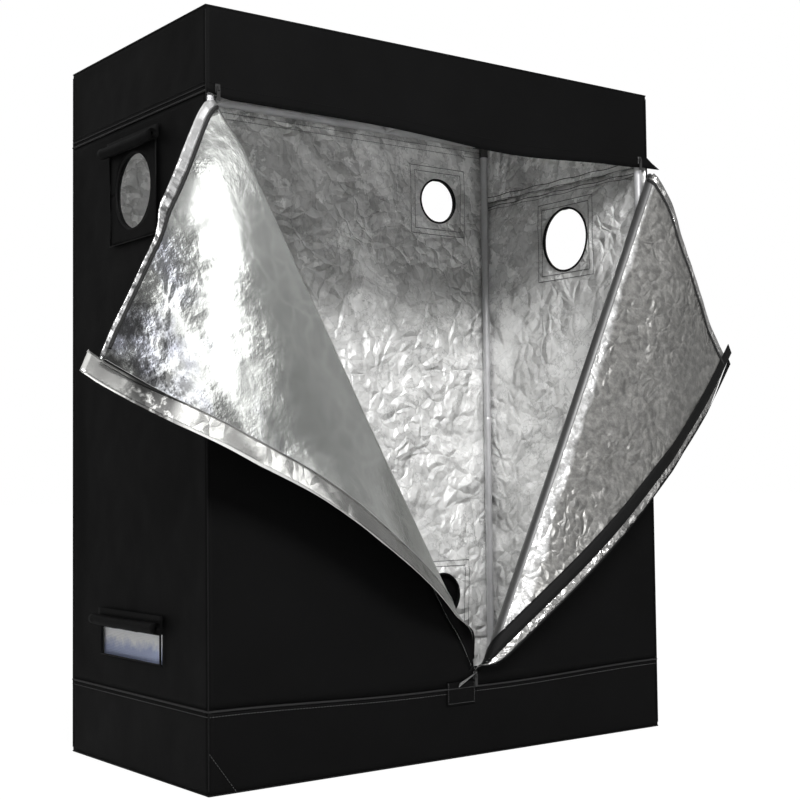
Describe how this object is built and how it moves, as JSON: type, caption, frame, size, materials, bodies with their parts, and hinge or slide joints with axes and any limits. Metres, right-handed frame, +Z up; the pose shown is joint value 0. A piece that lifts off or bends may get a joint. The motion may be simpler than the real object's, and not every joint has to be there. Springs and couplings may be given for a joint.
{
  "type": "indoor grow tent",
  "caption": "Box tent for growing plants indoors: tube frame, foil-lined cover, front door folded open in a V, round duct ports, net vent and a loose floor tray.",
  "frame": {"origin": "middle of the floor panel's underside, on the ground", "axes": "+Z up, -Y out of the front, +X to the right as seen from the front"},
  "size_m": [1.8207, 0.7808, 1.5],
  "materials": {
    "black_oxford": "matt woven cloth",
    "foil_lining": "crinkled bright foil on cloth",
    "grey_tube": "satin",
    "corner_plastic": "moulded",
    "vent_net": "open net",
    "tray_sheet": "coated waterproof sheet",
    "black_zip": "black satin"
  },
  "bodies": {
    "tent": {"corner_front_left_bottom": "corner_plastic", "corner_front_left_top": "corner_plastic", "corner_front_right_bottom": "corner_plastic", "corner_front_right_top": "corner_plastic", "corner_back_left_bottom": "corner_plastic", "corner_back_left_top": "corner_plastic", "corner_back_right_bottom": "corner_plastic", "corner_back_right_top": "corner_plastic", "post_front_left_lower": "grey_tube", "post_front_left_upper": "grey_tube", "post_front_right_lower": "grey_tube", "post_front_right_upper": "grey_tube", "post_back_left_lower": "grey_tube", "post_back_left_upper": "grey_tube", "post_back_right_lower": "grey_tube", "post_back_right_upper": "grey_tube", "rail_front_bottom_left": "grey_tube", "rail_front_bottom_right": "grey_tube", "rail_front_top_left": "grey_tube", "rail_front_top_right": "grey_tube", "rail_back_bottom_left": "grey_tube", "rail_back_bottom_right": "grey_tube", "rail_back_top_left": "grey_tube", "rail_back_top_right": "grey_tube", "rail_left_bottom": "grey_tube", "rail_left_top": "grey_tube", "rail_right_bottom": "grey_tube", "rail_right_top": "grey_tube", "crown_band": "black_oxford", "roof_panel": "black_oxford", "floor_panel": "black_oxford", "skirt_band": "black_oxford", "wall_left": "black_oxford", "wall_right": "black_oxford", "wall_back": "black_oxford", "front_panel_left": "black_oxford", "front_panel_right": "black_oxford", "port_frame_left": "black_oxford", "port_frame_right": "black_oxford", "port_frame_back_upper": "black_oxford", "port_frame_back_lower": "black_oxford", "port_cover_left": "black_oxford", "port_cover_right": "black_oxford", "port_cover_back_upper": "black_oxford", "vent_cover": "black_oxford", "door_fold_left": "foil_lining", "door_fold_right": "foil_lining", "vent_net": "vent_net", "floor_tray": "tray_sheet"},
    "left_flap": {"door_flap_left": "foil_lining"},
    "right_flap": {"door_flap_right": "foil_lining"},
    "left_hanging_bar": {"hanging_bar_left": "grey_tube"},
    "right_hanging_bar": {"hanging_bar_right": "grey_tube"},
    "low_port_cover": {"port_cover_back_lower": "black_oxford"},
    "centre_slider": {"zip_slider_centre": "black_zip"},
    "centre_pull": {"zip_pull_centre": "black_zip"},
    "top_left_slider": {"zip_slider_top_left": "black_zip"},
    "top_left_pull": {"zip_pull_top_left": "black_zip"},
    "top_right_slider": {"zip_slider_top_right": "black_zip"},
    "top_right_pull": {"zip_pull_top_right": "black_zip"}
  },
  "joints": [
    {"name": "left_flap_fold", "type": "hinge", "parent": "tent", "child": "left_flap", "pos_m": [-0.592, -0.3116, 1.325], "axis": [-0.4836, 0, 0.8753], "range_deg": [0, 163], "deforming": ["door_fold_left"]},
    {"name": "right_flap_fold", "type": "hinge", "parent": "tent", "child": "right_flap", "pos_m": [0.592, -0.31414, 1.325], "axis": [-0.4286, 0, -0.9035], "range_deg": [0, 176], "deforming": ["door_fold_right"]},
    {"name": "left_bar_slide", "type": "slide", "parent": "tent", "child": "left_hanging_bar", "axis": [1, 0, 0], "range_m": [-0.2, 0.2]},
    {"name": "right_bar_slide", "type": "slide", "parent": "tent", "child": "right_hanging_bar", "axis": [1, 0, 0], "range_m": [-0.2, 0.2]},
    {"name": "low_port_cover_lift", "type": "hinge", "parent": "tent", "child": "low_port_cover", "pos_m": [0.43, 0.3041, 0.375], "axis": [1, 0, 0], "range_deg": [0, 150]},
    {"name": "centre_zip_slide", "type": "slide", "parent": "tent", "child": "centre_slider", "axis": [0, 0, 1], "range_m": [0, 1.1]},
    {"name": "top_left_zip_slide", "type": "slide", "parent": "tent", "child": "top_left_slider", "axis": [1, 0, 0], "range_m": [0, 0.6]},
    {"name": "top_right_zip_slide", "type": "slide", "parent": "tent", "child": "top_right_slider", "axis": [-1, 0, 0], "range_m": [0, 0.51]},
    {"name": "centre_pull_swing", "type": "hinge", "parent": "centre_slider", "child": "centre_pull", "pos_m": [0.045, -0.3051, 0.169], "axis": [-1, 0, 0], "range_deg": [0, 80]},
    {"name": "top_left_pull_swing", "type": "hinge", "parent": "top_left_slider", "child": "top_left_pull", "pos_m": [-0.575, -0.3051, 1.339], "axis": [-1, 0, 0], "range_deg": [0, 80]},
    {"name": "top_right_pull_swing", "type": "hinge", "parent": "top_right_slider", "child": "top_right_pull", "pos_m": [0.575, -0.3051, 1.339], "axis": [-1, 0, 0], "range_deg": [0, 80]}
  ]
}
